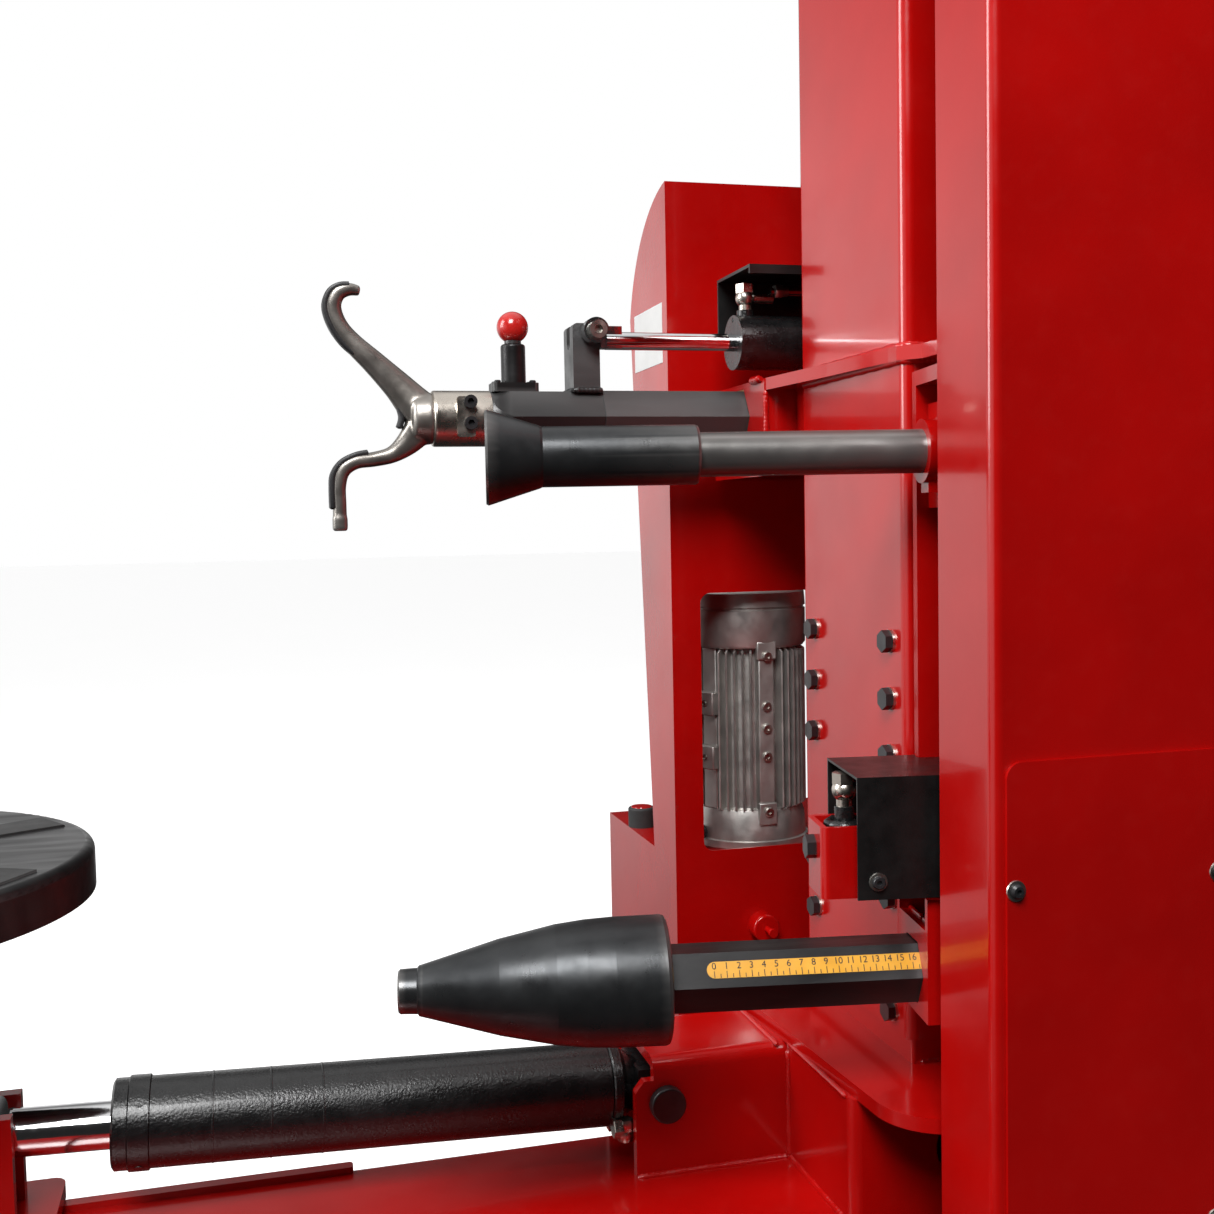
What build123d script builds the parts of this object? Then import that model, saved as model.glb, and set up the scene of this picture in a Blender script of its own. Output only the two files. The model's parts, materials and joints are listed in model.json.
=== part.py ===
from build123d import *
import os
from math import cos, sin, sqrt, radians

# Tire changer with a rear column, a sliding wheel carriage on a base beam, a hook
# tool on a hexagonal arm, and a swinging frame that carries a tapered roller and a
# bullet cone.  Millimetres.  +Z up, X along the base beam (the arms reach towards -X),
# -Y is the operator's side.  Origin on the floor, at the middle of the four pedestal
# anchor holes.

# ---------------------------------------------------------------- driving dimensions
# column
col_x = 100                      # half width along X
col_front, col_back = -122, 102  # front and back faces
col_bottom, col_top = 373, 1425
shell_wall = 6
bolt_pitch = 50
bolt_rows = (716, 441)           # top row of the upper group, middle row of the lower one
bolt_y = (-92, 70)

# pedestal and base
ped_x0, ped_x1 = -165, 170
ped_y0, ped_y1 = -145, 125
shelf_top, shelf_t = 350, 12
shelf_front = -228
beam_x0 = -1500
beam_y0, beam_y1 = -215, 90
beam_z0, beam_z1 = 130, 230
rail_width, rail_height = 12, 6
anchor_x, anchor_y, anchor_r = 260, 190, 9

# upper arm, level with the rear side of the column
arm_y, arm_z, arm_af = 210, 931, 55
arm_x0, arm_x1 = -393, 190
plunger_x = -367
tool_shaft_r, tool_shaft_end = 18, -342
gusset_top, gusset_t = 966, 12
bracket_x0, bracket_x1 = -125, 60
bracket_half = 76
bush_wall = 2
cyl_y, cyl_z = 180, 1007         # upper cylinder axis
upper_barrel_r, upper_rod_r = 28, 9
upper_face_x = -141              # front face of the upper barrel

# swing frame: pivot point and rest angle; arm stations are measured from the pivot
piv_x, piv_y, swing_rest = -56, -187.5, -9.85
shaft_z, shaft_r = 875, 17.5
bar_z, bar_af = 457, 48
port_z = 555                     # axis of the lower arm's cylinder
frame_half = 34                  # half gap between the frame's side plates
housing_down, housing_up = 34, 40
collar_r = 25.5
trough_z0, trough_z1 = port_z - 32, port_z + 25

# front post
post_x0, post_x1 = -133, 67
post_y0, post_y1 = -318, -240
post_wall = 5
post_top = 1500

# guard and cabinet behind the column
guard_x0, guard_x1 = -174, 150
guard_y0, guard_back = 302, 451
guard_bottom, guard_top = 436, 1200
window = (-140, 60, 446, 742)
cabinet_back, cabinet_top = 595, 436

# wheel feed
feed_y, feed_pin_x, feed_pin_z = 47, -284, 296
feed_tube_r, feed_tilt = 38, 2.4
table_x, table_top, table_r = -1000, 560, 230

fit = 0.05                       # radial running clearance
gap = 0.5                        # clearance between moving bodies


# ---------------------------------------------------------------- helpers
def block(x0, x1, y0, y1, z0, z1):
    size = (x1 - x0, y1 - y0, z1 - z0)
    centre = ((x0 + x1) / 2, (y0 + y1) / 2, (z0 + z1) / 2)
    return Pos(*centre) * Box(*size)


def rod_x(x0, x1, y, z, r):
    return Pos((x0 + x1) / 2, y, z) * Rot(0, 90, 0) * Cylinder(r, x1 - x0)


def rod_y(x, y0, y1, z, r):
    return Pos(x, (y0 + y1) / 2, z) * Rot(90, 0, 0) * Cylinder(r, y1 - y0)


def rod_z(x, y, z0, z1, r):
    return Pos(x, y, (z0 + z1) / 2) * Cylinder(r, z1 - z0)


def hex_x(x0, x1, y, z, af):
    # hexagonal prism along X with flats on top and bottom
    section = Plane.YZ * RegularPolygon(af / sqrt(3), 6)
    return Pos(x0, y, z) * extrude(section, x1 - x0, dir=(1, 0, 0))


def plate_z(points, z0, z1):
    return extrude(Pos(0, 0, z0) * make_face(Polyline(*points, close=True)), z1 - z0)


def turned_x(profile, y, z):
    # solid of revolution about the X axis from (x, radius) points
    face = make_face(Polyline(*[(x, r) for x, r in profile], close=True))
    return Pos(0, y, z) * revolve(face, Axis.X)


def soften(part, axis, radius, pick=None):
    edges = part.edges().filter_by(axis)
    if pick:
        edges = edges.filter_by(pick)
    return fillet(edges, radius)


def hex_head(af, height):
    return extrude(RegularPolygon(af / sqrt(3), 6), height)


def in_frame(part):
    # from stations along the swinging arms to the machine's axes
    return Pos(piv_x, piv_y, 0) * Rot(0, 0, swing_rest) * part


def joined(parts):
    parts = list(parts)
    result = parts[0]
    for other in parts[1:]:
        result = result + other
    return result


nodes = {}


def keep(name, *parts):
    nodes[name] = parts[0] if len(parts) == 1 else Compound(children=list(parts))


# ---------------------------------------------------------------- base
def base_beam():
    wall = 6
    beam = block(beam_x0, ped_x0, beam_y0, beam_y1, beam_z0, beam_z1)
    beam = soften(beam, Axis.X, 8)
    beam -= block(beam_x0 + wall, ped_x0 - wall, beam_y0 + wall, beam_y1 - wall,
                  beam_z0 + wall, beam_z1 - wall)
    return beam


def cross_sill(x):
    # cross sill under the beam, with a drilled foot at each end
    half = 330
    mid = (beam_y0 + beam_y1) / 2
    sill = block(x - 50, x + 50, mid - half, mid + half, 50, beam_z0)
    sill -= block(x - 44, x + 44, mid - half + 6, mid + half - 6, 56, beam_z0 - 6)
    return sill


def levelling_foot(x, y):
    return rod_z(x, y, 0, 18, 32) + rod_z(x, y, 18, 50, 10)


def rail(y0, y1):
    strip = block(-1460, -560, y0, y1, beam_z1, beam_z1 + rail_height)
    return soften(strip, Axis.Z, 4)


def pedestal():
    wall = 8
    body = block(ped_x0, ped_x1, ped_y0, ped_y1, 12, shelf_top - shelf_t)
    corners = body.edges().filter_by(Axis.Z)
    body = fillet(corners, 10)
    body -= block(ped_x0 + wall, ped_x1 - wall, ped_y0 + wall, ped_y1 - wall,
                  20, shelf_top - shelf_t - wall)
    body -= rod_y(-62, ped_y0 - 1, ped_y0 + wall + 1, 287, 25)
    return body


def floor_plate():
    plate = block(-anchor_x - 40, anchor_x + 40, -anchor_y - 40, guard_y0, 0, 12)
    plate = fillet(plate.edges().filter_by(Axis.Z).sort_by(Axis.Y)[0:2], 15)
    for x in (-anchor_x, anchor_x):
        for y in (-anchor_y, anchor_y):
            plate -= rod_z(x, y, -1, 13, anchor_r)
    return plate


def pedestal_shelf():
    plate = plate_z([(-176, 150), (-155, shelf_front), (180, shelf_front), (180, 150)],
                    shelf_top - shelf_t, shelf_top)
    corners = plate.edges().filter_by(Axis.Z).sort_by(Axis.Y)[0:2]
    plate = fillet(corners, 55)
    return plate - rod_z(piv_x, piv_y, shelf_top - shelf_t - 1, shelf_top + 1, 12.5)


clevis_x0 = -313
clevis_y0, clevis_y1 = feed_y - 55, feed_y + 55


def clevis_box():
    # welded channel, open towards the wheel, with a stepped notch in each cheek
    wall = 10
    top = shelf_top - shelf_t
    box = block(clevis_x0, ped_x0, clevis_y0, clevis_y1, beam_z1, top)
    upper = box.edges().filter_by(Axis.X).sort_by(Axis.Z)[-2:]
    box = fillet(upper, 12)
    box -= block(clevis_x0 - 1, ped_x0 - wall, clevis_y0 + wall, clevis_y1 - wall,
                 beam_z1 - 1, top - wall)
    step = [(-1, 1), (17, 1), (17, -20), (8, -20), (0, -30), (-1, -30)]
    outline = [(clevis_x0 + x, top + z) for x, z in step]
    cut = Plane.XZ * make_face(Polyline(*outline, close=True))
    box -= Pos(0, clevis_y1 + 1, 0) * extrude(cut, clevis_y1 - clevis_y0 + 2)
    box -= rod_y(feed_pin_x, clevis_y0 - 1, clevis_y1 + 1, feed_pin_z, 12.5)
    return box


def clevis_pin():
    pin = rod_y(feed_pin_x, clevis_y0 - 1, clevis_y1 + 12, feed_pin_z, 12.5)
    cap = rod_y(feed_pin_x, clevis_y0 - 9, clevis_y0, feed_pin_z, 16.5)
    outer = cap.edges().sort_by(Axis.Y)[0]
    return pin + fillet(outer, 2)


# ---------------------------------------------------------------- column
def column_shell():
    shell = block(-col_x, col_x, col_front, col_back, col_bottom, col_top)
    shell = soften(shell, Axis.Z, 10)
    bore = block(-col_x + shell_wall, col_x - shell_wall, col_front + shell_wall,
                 col_back - shell_wall, col_bottom - 1, col_top + 1)
    shell -= soften(bore, Axis.Z, 4)
    for y, z in bolt_places():
        shell -= rod_x(-col_x - 1, -col_x + 12, y, z, 5.25)
    return shell


def column_frame():
    # inner tube that carries the load and takes the shell's bolts
    wall = 8
    x1 = col_x - shell_wall
    y0, y1 = col_front + shell_wall, col_back - shell_wall
    tube = soften(block(-x1, x1, y0, y1, shelf_top, 1390), Axis.Z, 4)
    tube -= block(-x1 + wall, x1 - wall, y0 + wall, y1 - wall, shelf_top - 1, 1391)
    for y, z in bolt_places():
        tube -= rod_x(-x1 - 1, -x1 + wall + 1, y, z, 5)
    return tube


def column_cap():
    cap = block(-col_x - 2, col_x + 2, col_front - 2, col_back + 2, col_top, col_top + 6)
    return soften(cap, Axis.Z, 12)


def bolt_places():
    for y in bolt_y:
        for step in (0, 1, 2):
            yield y, bolt_rows[0] - step * bolt_pitch
        for step in (-1, 0, 1):
            yield y, bolt_rows[1] - step * bolt_pitch


def column_washers():
    for y, z in bolt_places():
        ring = rod_x(-col_x - 2, -col_x, y, z, 10)
        yield ring - rod_x(-col_x - 3, -col_x + 1, y, z, 5.25)


def column_bolts():
    for y, z in bolt_places():
        head = Pos(-col_x - 8.5, y, z) * Rot(0, 90, 0) * hex_head(17, 6.5)
        yield head + rod_x(-col_x - 2, -col_x + 16, y, z, 5)


def upper_gusset():
    # plate from the arm bracket round the column's corner, with a lobe for the top pivot
    z0 = gusset_top - gusset_t
    outline = [(-124, arm_y - bracket_half), (-112, 9), (-108, -60), (-104, -100),
               (-104, -116), (-90, -134), (90, -134), (90, 40),
               (120, arm_y - bracket_half)]
    plate = plate_z(outline, z0, gusset_top)
    plate += block(piv_x - 34, piv_x + 34, post_y0 + post_wall, -120, z0, gusset_top)
    slot = block(-col_x, col_x, col_front, col_back, z0 - 1, gusset_top + 1)
    plate -= soften(slot, Axis.Z, 10)
    plate -= rod_z(piv_x, piv_y, z0 - 1, gusset_top + 1, 12.5)
    return plate


def arm_bracket():
    # box behind the column that holds the hexagonal arm
    wall = 10
    y0, y1 = arm_y - bracket_half, arm_y + bracket_half
    z0, z1 = 868, gusset_top
    box = block(bracket_x0, bracket_x1, y0, y1, z0, z1)
    top_corners = box.edges().filter_by(Axis.X).sort_by(Axis.Z)[-2:]
    box = fillet(top_corners.sort_by(Axis.Y)[-1:], 10)
    box -= block(bracket_x0 + wall, bracket_x1 - wall, y0 + wall, y1 - wall,
                 z0 - 1, z1 - 5)
    box -= hex_x(bracket_x0 - 1, bracket_x1 + 1, arm_y, arm_z, arm_af + 2 * bush_wall)
    web = block(-90, 50, col_back, y0, z0, gusset_top - gusset_t)
    return box + web


def arm_liners():
    # bronze guide bushes at both walls of the bracket
    for x0, x1 in ((bracket_x0 + 1, bracket_x0 + 31), (bracket_x1 - 31, bracket_x1)):
        bush = hex_x(x0, x1, arm_y, arm_z, arm_af + 2 * bush_wall)
        yield bush - hex_x(x0 - 1, x1 + 1, arm_y, arm_z, arm_af + 2 * fit)


# ---------------------------------------------------------------- upper cylinder
def upper_barrel():
    barrel = rod_x(upper_face_x, 70, cyl_y, cyl_z, upper_barrel_r)
    barrel -= rod_x(upper_face_x - 1, 60, cyl_y, cyl_z, upper_rod_r + fit)
    port = rod_z(-127, cyl_y, cyl_z + 20, cyl_z + 33, 9)
    barrel += port - rod_x(upper_face_x, 0, cyl_y, cyl_z, upper_barrel_r - 2)
    foot = block(-60, 50, cyl_y - 14, cyl_y + 14, gusset_top, cyl_z - 20)
    foot -= rod_x(-70, 60, cyl_y, cyl_z, upper_barrel_r - 1)
    return barrel + foot


def swivel_fitting(x, y, z):
    # banjo elbow: round body, hexagonal cap and a pipe stub
    ball = Pos(x, y, z) * Sphere(10)
    cap = Pos(x, y, z + 5) * hex_head(17, 9)
    collar = rod_z(x, y, z - 13, z - 4, 6.5)
    stub = rod_x(x + 8, x + 30, y, z, 5)
    return ball + cap + collar + stub


def upper_cover():
    # folded sheet over the cylinder, open on the operator's side
    t = 3
    x0, x1 = upper_face_x + 1, 70
    y0, y1 = 131, 229
    top = 1079
    lid = block(x0, x1, y0, y1, top - t, top)
    back = block(x0, x1, y1 - t, y1, cyl_z + 3, top)
    leg = block(20, 60, y1 - t, y1, gusset_top, top)
    lip = block(x0, x1, y0, y0 + t, top - 9, top)
    return lid + back + leg + lip


def upper_rod():
    rod = rod_x(-278, 20, cyl_y, cyl_z, upper_rod_r)
    eye = rod_y(-288, cyl_y - 7, cyl_y + 7, cyl_z + 10, 13)
    neck = block(-284, -262, cyl_y - 7, cyl_y + 7, cyl_z - 8, cyl_z + 14)
    end = rod + eye + neck
    return end - rod_y(-288, cyl_y - 8, cyl_y + 8, cyl_z + 10, 6 + fit)


# ---------------------------------------------------------------- hook arm
def upper_hex_arm():
    neck_x, step_x = -366, -278
    main = hex_x(step_x, arm_x1, arm_y, arm_z, arm_af)
    front = hex_x(neck_x, step_x, arm_y, arm_z, arm_af - 2)
    cone = turned_x([(arm_x0, 0), (arm_x0, 26), (neck_x, 32), (step_x, 60), (step_x, 0)], arm_y, arm_z)
    tip = hex_x(arm_x0, neck_x, arm_y, arm_z, arm_af - 2) & cone
    arm = main + front + tip
    arm -= rod_x(arm_x0 - 1, tool_shaft_end + gap, arm_y, arm_z, tool_shaft_r + fit)
    return arm - rod_z(plunger_x, arm_y, arm_z + 5, arm_z + 40, 6.6)


lug_x0, lug_x1 = -309, -281
lug_top = 1026


def arm_lug():
    base = arm_z + arm_af / 2
    lug = block(lug_x0, lug_x1, arm_y - 20, arm_y + 20, base, lug_top)
    lug = fillet(lug.edges().filter_by(Axis.Y).sort_by(Axis.Z)[-2:], 5)
    groove = rod_x(lug_x0 - 1, lug_x1 + 1, arm_y, 1008, 7)
    groove += block(lug_x0 - 1, lug_x1 + 1, arm_y - 7, arm_y + 7, 1008, lug_top + 1)
    lug -= groove
    lug -= rod_y(-288, arm_y - 21, arm_y - 5, cyl_z + 10, 6)
    return lug


def lug_screw():
    # socket screw through the rod's eye into the lug
    head = rod_y(-288, cyl_y - 15, cyl_y - 7, cyl_z + 10, 9)
    socket = Pos(-288, cyl_y - 16, cyl_z + 10) * Rot(-90, 0, 0) * hex_head(8, 6)
    shank = rod_y(-288, cyl_y - 7, arm_y - 5, cyl_z + 10, 6)
    return head + shank - socket


def plunger_guide():
    base = arm_z + (arm_af - 2) / 2
    flange = block(plunger_x - 24, plunger_x + 24, arm_y - 14, arm_y + 14, base, base + 9)
    flange = fillet(flange.edges().filter_by(Axis.Z), 5)
    sleeve = rod_z(plunger_x, arm_y, base + 9, 1006, 12.5)
    sleeve = fillet(sleeve.edges().sort_by(Axis.Z)[-1:], 3)
    bore = rod_z(plunger_x, arm_y, base - 1, 1010, 6.6)
    spring_room = rod_z(plunger_x, arm_y, base + 4, 996, 9.5)
    return flange + sleeve - bore - spring_room


def plunger_pin():
    pin = rod_z(plunger_x, arm_y, arm_z + 12, 1014, 6)
    collar = rod_z(plunger_x, arm_y, 966, 969, 9)
    return pin + collar


def plunger_spring():
    wire, radius, turns = 1.1, 7.9, 6
    z0, z1 = 970.5, 994.5
    path = Pos(plunger_x, arm_y, z0) * Helix((z1 - z0) / turns, z1 - z0, radius)
    start = path @ 0
    section = Plane(origin=start, z_dir=path % 0) * Circle(wire)
    return sweep(section, path=path)


def plunger_knob():
    ball = Pos(plunger_x, arm_y, 1023) * Sphere(16)
    return ball - rod_z(plunger_x, arm_y, 1000, 1014, 6)


# ---------------------------------------------------------------- hook tool
hook_t = 20                      # thickness of the cast prongs


def tube_path(points, radii, r):
    # round bar along a bent centre line in the arm's vertical plane
    line = Plane.XZ * FilletPolyline(*points, radius=radii)
    line = Pos(0, arm_y, 0) * line
    start = Plane(origin=line @ 0, z_dir=line % 0)
    return sweep(start * Circle(r), path=line)


def hook_tool():
    upper = tube_path([(-470, 934), (-486, 955), (-543, 1014), (-549, 1050), (-518, 1058)],
                      [30, 18, 10], 10)
    lower = tube_path([(-466, 930), (-484, 902), (-524, 888), (-545, 868), (-545, 832)],
                      [16, 20, 14], 8)
    toe = Pos(-545, arm_y, 827) * Box(15, 20, 12)
    tip = Pos(-518, arm_y, 1058) * Sphere(9.5)
    palm = Pos(-468, arm_y, arm_z) * Rot(0, 90, 0) * Cone(12, 26, 32)
    return upper + lower + toe + tip + palm


def tool_collar():
    sleeve = rod_x(-452, arm_x0 - gap, arm_y, arm_z, 28)
    sleeve = fillet(sleeve.edges().sort_by(Axis.X)[0:1], 3)
    shaft = turned_x([(arm_x0 - gap, 0), (arm_x0 - gap, tool_shaft_r), (plunger_x - 8, tool_shaft_r),
                      (plunger_x - 8, 11), (plunger_x + 8, 11), (plunger_x + 8, tool_shaft_r),
                      (tool_shaft_end, tool_shaft_r), (tool_shaft_end, 0)], arm_y, arm_z)
    flat = block(-430, -412, arm_y - 40, arm_y - 24, arm_z - 20, arm_z + 20)
    screw_holes = [rod_y(-417, arm_y - 25, arm_y - 10, arm_z + 4 + dz, 4) for dz in (-10.5, 10.5)]
    return sleeve + shaft - flat - joined(screw_holes)


def clamp_plate():
    plate = block(-430, -412, arm_y - 30, arm_y - 24, arm_z - 20, arm_z + 20)
    plate = fillet(plate.edges().filter_by(Axis.Y), 3)
    for dz in (-10.5, 10.5):
        plate -= rod_y(-417, arm_y - 31, arm_y - 23, arm_z + 4 + dz, 4)
    return plate


def clamp_screws():
    for dz in (-10.5, 10.5):
        z = arm_z + 4 + dz
        head = rod_y(-417, arm_y - 36, arm_y - 30, z, 6.5)
        socket = Pos(-417, arm_y - 37, z) * Rot(-90, 0, 0) * hex_head(6, 5)
        yield head + rod_y(-417, arm_y - 30, arm_y - 10, z, 4) - socket


# ---------------------------------------------------------------- swing frame
def swing_frame():
    # two side plates on a necked foot, with cross webs for the shaft collar and the cylinder
    x0, web_x, foot_x, x1 = -52, -42, -25, 46
    z0, z1 = shelf_top + 12, gusset_top - gusset_t - 12
    foot_z = bar_z - housing_down
    outer = frame_half + 10
    plates = [block(x0, x1, y0, y0 + 10, foot_z, z1) for y0 in (-outer, frame_half)]
    neck = rod_z(0, 0, z0, foot_z - 11, 28)
    foot = block(foot_x, x1, -outer, outer, foot_z - 12, foot_z)
    top = block(x0, x1, -frame_half, frame_half, z1 - 12, z1)
    web = block(web_x, web_x + 10, -frame_half, frame_half, shaft_z - 45, shaft_z + 40)
    low_web = block(web_x, web_x + 6, -frame_half, frame_half, trough_z0, trough_z1)
    body = joined(plates + [neck, foot, top, web, low_web])
    body -= rod_x(web_x - 1, web_x + 11, 0, shaft_z, collar_r)
    body -= rod_x(web_x - 1, web_x + 11, 0, port_z, 17)
    for z in (z0, z1 - 12):
        body -= rod_z(0, 0, z - 1, z + 13, 12.5 + fit)
    return in_frame(body)


def pivot_pins():
    # flanged pins at the bottom shelf and the top gusset
    z0, z1 = shelf_top - shelf_t, gusset_top
    low = rod_z(piv_x, piv_y, z0, shelf_top + 24, 12.5)
    low += rod_z(piv_x, piv_y, shelf_top, shelf_top + 12 - gap, 20)
    high = rod_z(piv_x, piv_y, z1 - gusset_t - 24, z1, 12.5)
    high += rod_z(piv_x, piv_y, z1 - gusset_t - 12 + gap, z1 - gusset_t, 20)
    return low, high


def shaft_collar():
    ring = rod_x(-59, 44, 0, shaft_z, collar_r) + block(-56, -44, -9, 9, shaft_z - 33, shaft_z - 24)
    return in_frame(ring - rod_x(-60, 45, 0, shaft_z, shaft_r + fit))


def lower_housing():
    # guide for the lower bar, with a face plate between two cheeks
    z0, z1 = bar_z - housing_down, bar_z + housing_up
    face = block(-69, -60, -40, 40, z0, z1)
    body = block(-60, 44, -frame_half, frame_half, z0, bar_z + housing_down)
    cheeks = [block(-69, -52, y0, y0 + 6, z0, z1 + 26) for y0 in (-40, 34)]
    body = joined([face, body] + cheeks)
    return in_frame(body - hex_x(-70, 45, 0, bar_z, bar_af + 2))


def cylinder_bracket():
    # channel that carries the lower arm's cylinder
    trough = block(-149, -42, -26, 26, trough_z0, trough_z1)
    trough = fillet(trough.edges().filter_by(Axis.Z).sort_by(Axis.X)[0:2], 7)
    trough -= block(-144, -41, -21, 21, trough_z0 + 5, trough_z1 + 1)
    trough -= rod_x(-150, -143, 0, port_z + 5, 6)
    return in_frame(trough)


def bracket_screw():
    z = port_z + 5
    head = Pos(-156.5, 0, z) * Rot(0, 90, 0) * hex_head(17, 7.5)
    return in_frame(head + rod_x(-149, -134, 0, z, 6))


def lower_barrel():
    barrel = rod_x(-134, 84, 0, port_z, 17)
    barrel -= rod_x(-125, 85, 0, port_z, 8 + fit)
    port = rod_z(-124, 0, port_z + 10, port_z + 37, 8)
    return in_frame(barrel + port)


def lower_cover():
    # folded sheet over the cylinder, open towards the wheel
    t = 2
    x0, x1 = -126, 40
    z0, z1 = port_z - 28, port_z + 68
    outer = block(x0, x1, -47, 47, z0, z1)
    cover = outer - block(x0 - 1, x1 + 1, t - 47, 47 - t, z0 - 1, z1 - t)
    for side in (-1, 1):
        slot = Pos(0, side * (frame_half + 5), z1) * Box(200, 11, 10)
        cover -= slot & block(-52.5, x1 + 1, -60, 60, z0, z1 + 10)
    return cover


def roller_shaft():
    shaft = rod_x(-300, 150, 0, shaft_z, shaft_r)
    spigot = rod_x(-396, -300, 0, shaft_z, 12)
    return in_frame(shaft + spigot)


def tapered_roller():
    body = turned_x([(-405, 0), (-405, 36), (-403, 37), (-363, 24.5), (-361, 23.6),
                     (-241, 23.6), (-239, 22.6), (-239, 0)], 0, shaft_z)
    body -= rod_x(-396.5, -299.5, 0, shaft_z, 12 + fit)
    body -= rod_x(-300.5, -238, 0, shaft_z, shaft_r + fit)
    return in_frame(body)


def lower_hex_arm():
    bar = hex_x(-280, 110, 0, bar_z, bar_af)
    spigot = rod_x(-440, -280, 0, bar_z, 15)
    lug = block(90, 104, -15, 15, bar_z + 20, port_z + 18)
    return in_frame(bar + spigot + lug - rod_x(89, 105, 0, port_z, 6))


def lower_rod():
    rod = rod_x(-122, 90, 0, port_z, 8)
    return in_frame(rod + rod_x(90, 112, 0, port_z, 6))


def scale_strip():
    # adhesive scale on the bar's upper front flat, with rounded ends
    length, height, thick = 181, 13, 0.4
    strip = extrude(SlotOverall(length, height), thick)
    strip = Rot(60, 0, 0) * strip
    flat = bar_af / 2
    centre = -241 + length / 2
    place = Pos(centre, -flat * cos(radians(30)), bar_z + flat * sin(radians(30)))
    return in_frame(place * strip)


def bullet_cone():
    nose = [(-483.5, 0), (-483.5, 16), (-482, 17.3), (-468.5, 17.8), (-467.5, 19.5)]
    flank = [(-459, 21.8), (-404, 37.3), (-359.6, 46.6)]
    belly = [(-336, 49.4), (-314, 50.6), (-274, 51), (-271.5, 50), (-270.5, 48), (-270.5, 0)]
    body = turned_x(nose + flank + belly, 0, bar_z)
    body -= rod_x(-441, -279.5, 0, bar_z, 15 + fit)
    body -= rod_x(-280.5, -269, 0, bar_z, 29)
    return in_frame(body)


# ---------------------------------------------------------------- guard and power unit
def guard_side(inset, x0, x1):
    # solid with the guard's side outline: a rounded top rear corner, then a slight taper down
    y0, y1, top, low = guard_y0 + inset, guard_back - inset, guard_top - inset, guard_bottom
    outline = Polyline((y1 - 64, low), (y0, low), (y0, top))
    shoulder = ThreePointArc((y0, top), (y0 + 92, top - 41), (y1, top - 132))
    face = make_face(outline + shoulder + Line((y1, top - 132), (y1 - 64, low)))
    return Pos(x0, 0, 0) * extrude(Plane.YZ * face, x1 - x0)


def rear_guard():
    t = 3
    shell = guard_side(0, guard_x0, guard_x1) - guard_side(t, guard_x0 + t, guard_x1 - t)
    shell -= block(guard_x0 + t, guard_x1 - t, guard_y0 + 75, guard_back + 1, guard_bottom - 1, guard_top - 60)
    shell -= block(guard_x0 + t, guard_x1 - t, guard_y0 + t, guard_back - 60, guard_bottom - 1, guard_bottom + 5)
    x0, x1, z0, z1 = window
    hole = block(x0, x1, guard_y0 - 1, guard_y0 + t + 1, z0, z1)
    return shell - fillet(hole.edges().filter_by(Axis.Y), 12)


motor_x, motor_y, motor_r = -52, 392, 72


def pump_motor():
    # finned motor on its end, with end shields and a terminal box
    body = rod_z(motor_x, motor_y, 480, 675, motor_r - 12)
    shields = rod_z(motor_x, motor_y, 436, 482, motor_r) + rod_z(motor_x, motor_y, 672, 745, motor_r)
    fin = block(motor_x + motor_r - 14, motor_x + motor_r - 1, motor_y - 2, motor_y + 2, 482, 672)
    fins = [Pos(motor_x, motor_y, 0) * Rot(0, 0, k * 12) * Pos(-motor_x, -motor_y, 0) * fin
            for k in range(30)]
    return joined([body, shields] + fins)


def power_unit():
    # oil tank with valve block, inside the cabinet
    tank = block(-150, 60, 330, 540, 12, 300)
    tank = fillet(tank.edges().filter_by(Axis.Z), 15)
    return tank + block(-100, 0, 345, 436, 300, 427)


def rear_cabinet():
    # sheet metal box under the motor
    t = 6
    box = block(guard_x0, guard_x1, guard_y0, cabinet_back, 0, cabinet_top)
    return box - block(guard_x0 + t, guard_x1 - t, guard_y0 + t, cabinet_back - t, t, cabinet_top - t)


def rubber_bumper():
    foot = rod_z(-157, 500, cabinet_top, cabinet_top + 25, 17)
    return fillet(foot.edges().sort_by(Axis.Z)[-1:], 3)


def grease_boss():
    boss = rod_y(-72, 282, 302, 355, 16)
    return fillet(boss.edges().sort_by(Axis.Y)[0:1], 3)


def grease_nipple():
    return rod_y(-72, 268, 282, 355, 3.5) + rod_y(-72, 262, 268, 355, 5)


# ---------------------------------------------------------------- front post
def front_post():
    # folded channel in front of the swing frame, open at the back
    post = block(post_x0, post_x1, post_y0, post_y1, 0, post_top)
    front = post.edges().filter_by(Axis.Z).sort_by(Axis.Y)[0:2]
    post = fillet(front, 8)
    inner = block(post_x0 + post_wall, post_x1 - post_wall, post_y0 + post_wall,
                  post_y1 + 1, 6, post_top - post_wall)
    post -= fillet(inner.edges().filter_by(Axis.Z).sort_by(Axis.Y)[0:2], 3)
    post -= block(post_x1 - 20, post_x1 + 1, -262, post_y1 + 1, shelf_top, gusset_top - 20)
    return post


def post_panel():
    # raised cover on the front of the post, held by four screws
    x0, x1, z0, z1 = post_x0 + 9, post_x1 - 9, 200, 648
    panel = block(x0, x1, post_y0 - 3, post_y0, z0, z1)
    panel = fillet(panel.edges().filter_by(Axis.Y), 12)
    for x in (x0 + 7, x1 - 7):
        for z in (z0 + 92, z1 - 92):
            panel -= rod_y(x, post_y0 - 4, post_y0 + 1, z, 3)
    return panel


# ---------------------------------------------------------------- wheel feed
def along_feed(part):
    # from stations along the feed cylinder (pin at zero, towards -X) to the machine
    return Pos(feed_pin_x, feed_y, feed_pin_z) * Rot(0, feed_tilt, 0) * part


feed_gland = -480


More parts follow.
